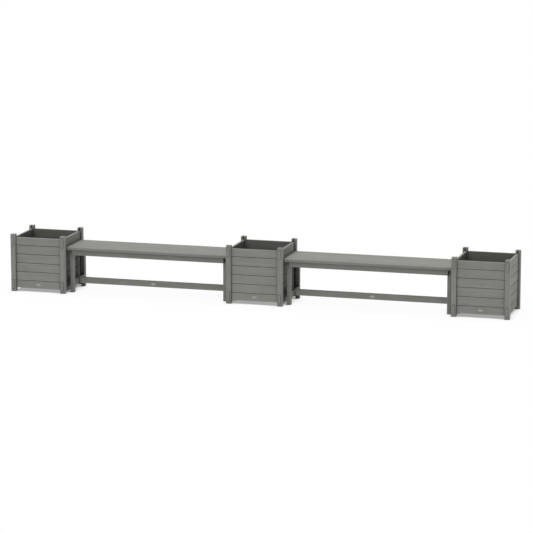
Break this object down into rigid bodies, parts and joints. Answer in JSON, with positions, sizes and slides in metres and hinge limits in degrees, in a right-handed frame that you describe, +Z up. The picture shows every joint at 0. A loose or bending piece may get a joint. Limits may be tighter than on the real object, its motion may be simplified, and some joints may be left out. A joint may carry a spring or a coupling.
{
  "type": "planter bench row",
  "caption": "Straight row of slatted square planters standing end to end with long backless benches, in grey recycled plastic lumber, for seating and planting outdoors.",
  "frame": {"origin": "on the ground at the centre of the middle planter, which is also the bottom centre of the whole", "axes": "+X along the row to the right as seen from the front, -Y towards the front, +Z up"},
  "size_m": [5.103, 0.587, 0.583],
  "materials": {
    "planter_post": "moulded matt, fine grain",
    "wall_board": "moulded matt, fine grain",
    "planter_floor": "moulded matt",
    "seat_board": "moulded matt, fine grain",
    "bench_frame": "moulded matt, fine grain",
    "screw_steel": "satin"
  },
  "bodies": {
    "root": {"left_planter_post_front_left": "planter_post", "left_planter_post_front_right": "planter_post", "left_planter_post_back_left": "planter_post", "left_planter_post_back_right": "planter_post", "left_planter_front_wall_boards": "wall_board", "left_planter_back_wall_boards": "wall_board", "left_planter_left_wall_boards": "wall_board", "left_planter_right_wall_boards": "wall_board", "left_planter_floor_bearers": "planter_floor", "left_planter_floor_slats": "planter_floor", "middle_planter_post_front_left": "planter_post", "middle_planter_post_front_right": "planter_post", "middle_planter_post_back_left": "planter_post", "middle_planter_post_back_right": "planter_post", "middle_planter_front_wall_boards": "wall_board", "middle_planter_back_wall_boards": "wall_board", "middle_planter_left_wall_boards": "wall_board", "middle_planter_right_wall_boards": "wall_board", "middle_planter_floor_bearers": "planter_floor", "middle_planter_floor_slats": "planter_floor", "right_planter_post_front_left": "planter_post", "right_planter_post_front_right": "planter_post", "right_planter_post_back_left": "planter_post", "right_planter_post_back_right": "planter_post", "right_planter_front_wall_boards": "wall_board", "right_planter_back_wall_boards": "wall_board", "right_planter_left_wall_boards": "wall_board", "right_planter_right_wall_boards": "wall_board", "right_planter_floor_bearers": "planter_floor", "right_planter_floor_slats": "planter_floor", "left_bench_seat_front_board": "seat_board", "left_bench_seat_middle_boards": "seat_board", "left_bench_seat_back_board": "seat_board", "left_bench_front_apron": "bench_frame", "left_bench_back_apron": "bench_frame", "left_bench_leg_front_left": "bench_frame", "left_bench_leg_front_right": "bench_frame", "left_bench_leg_back_left": "bench_frame", "left_bench_leg_back_right": "bench_frame", "left_bench_left_end_rail": "bench_frame", "left_bench_right_end_rail": "bench_frame", "left_bench_stretcher": "bench_frame", "left_bench_seat_bearers": "bench_frame", "left_bench_coach_screws": "screw_steel", "right_bench_seat_front_board": "seat_board", "right_bench_seat_middle_boards": "seat_board", "right_bench_seat_back_board": "seat_board", "right_bench_front_apron": "bench_frame", "right_bench_back_apron": "bench_frame", "right_bench_leg_front_left": "bench_frame", "right_bench_leg_front_right": "bench_frame", "right_bench_leg_back_left": "bench_frame", "right_bench_leg_back_right": "bench_frame", "right_bench_left_end_rail": "bench_frame", "right_bench_right_end_rail": "bench_frame", "right_bench_stretcher": "bench_frame", "right_bench_seat_bearers": "bench_frame", "right_bench_coach_screws": "screw_steel"}
  },
  "joints": []
}
